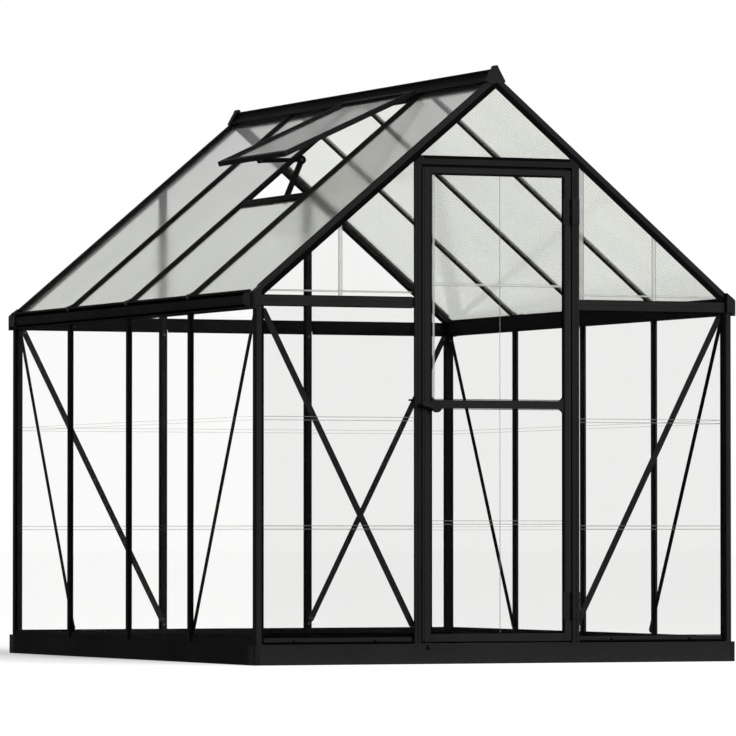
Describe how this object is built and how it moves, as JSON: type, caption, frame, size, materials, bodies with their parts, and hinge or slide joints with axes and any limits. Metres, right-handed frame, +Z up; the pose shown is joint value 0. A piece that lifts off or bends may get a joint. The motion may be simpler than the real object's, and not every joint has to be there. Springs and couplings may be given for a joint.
{
  "type": "garden greenhouse",
  "caption": "Small pitched-roof greenhouse with a dark metal frame, clear wall sheets, twin-wall roof, hinged glazed door and a propped roof window.",
  "frame": {"origin": "middle of the footprint, on the ground", "axes": "+X across the front to the right seen from outside the door, +Y from the door to the rear, +Z up"},
  "size_m": [1.87, 2.484, 2.0993],
  "materials": {
    "frame_coat": "satin black powder coat on aluminium",
    "base_coat": "satin black coated steel sheet",
    "brace_coat": "dark coated flat bar",
    "black_plastic": "moulded black plastic",
    "clear_sheet": "clear polycarbonate sheet with formed ribs",
    "twin_wall": "translucent twin-wall polycarbonate with fine flutes down the slope"
  },
  "bodies": {
    "frame": {"base_front": "base_coat", "base_rear": "base_coat", "base_left": "base_coat", "base_right": "base_coat", "base_corners": "black_plastic", "front_sills": "frame_coat", "rear_sills": "frame_coat", "left_sills": "frame_coat", "right_sills": "frame_coat", "corner_posts": "frame_coat", "left_wall_posts": "frame_coat", "right_wall_posts": "frame_coat", "rear_posts": "frame_coat", "door_posts": "frame_coat", "door_header": "frame_coat", "left_gutter": "frame_coat", "right_gutter": "frame_coat", "gutter_end_caps": "black_plastic", "front_gable_rails": "frame_coat", "rear_gable_rails": "frame_coat", "front_rafters": "frame_coat", "rear_rafters": "frame_coat", "ridge_beam": "frame_coat", "ridge_end_caps": "black_plastic", "left_roof_bars": "frame_coat", "right_roof_bars": "frame_coat", "roof_bar_clips": "black_plastic", "side_braces": "brace_coat", "end_braces": "brace_coat", "left_wall_panels": "clear_sheet", "right_wall_panels": "clear_sheet", "front_wall_panels": "clear_sheet", "rear_wall_panels": "clear_sheet", "left_roof_panels": "twin_wall", "right_roof_panels": "twin_wall", "front_gable_panels": "clear_sheet", "rear_gable_panels": "clear_sheet", "window_sill": "frame_coat", "window_frame": "frame_coat", "window_panel": "twin_wall", "window_stay": "brace_coat", "hinge_plates": "black_plastic"},
    "door": {"door_stiles": "frame_coat", "door_rails": "frame_coat", "door_mid_rail": "frame_coat", "door_panels": "clear_sheet", "door_hinge_leaves": "black_plastic"},
    "latch": {"latch_handle": "black_plastic", "latch_arm_plate": "black_plastic"}
  },
  "joints": [
    {"name": "door_hinge", "type": "hinge", "parent": "frame", "child": "door", "pos_m": [0.286, -1.237, 0.9], "axis": [0, 0, 1], "range_deg": [0, 165]},
    {"name": "latch_turn", "type": "hinge", "parent": "door", "child": "latch", "pos_m": [-0.242, -1.229, 0.9015], "axis": [0, -1, 0], "range_deg": [0, 75]}
  ]
}
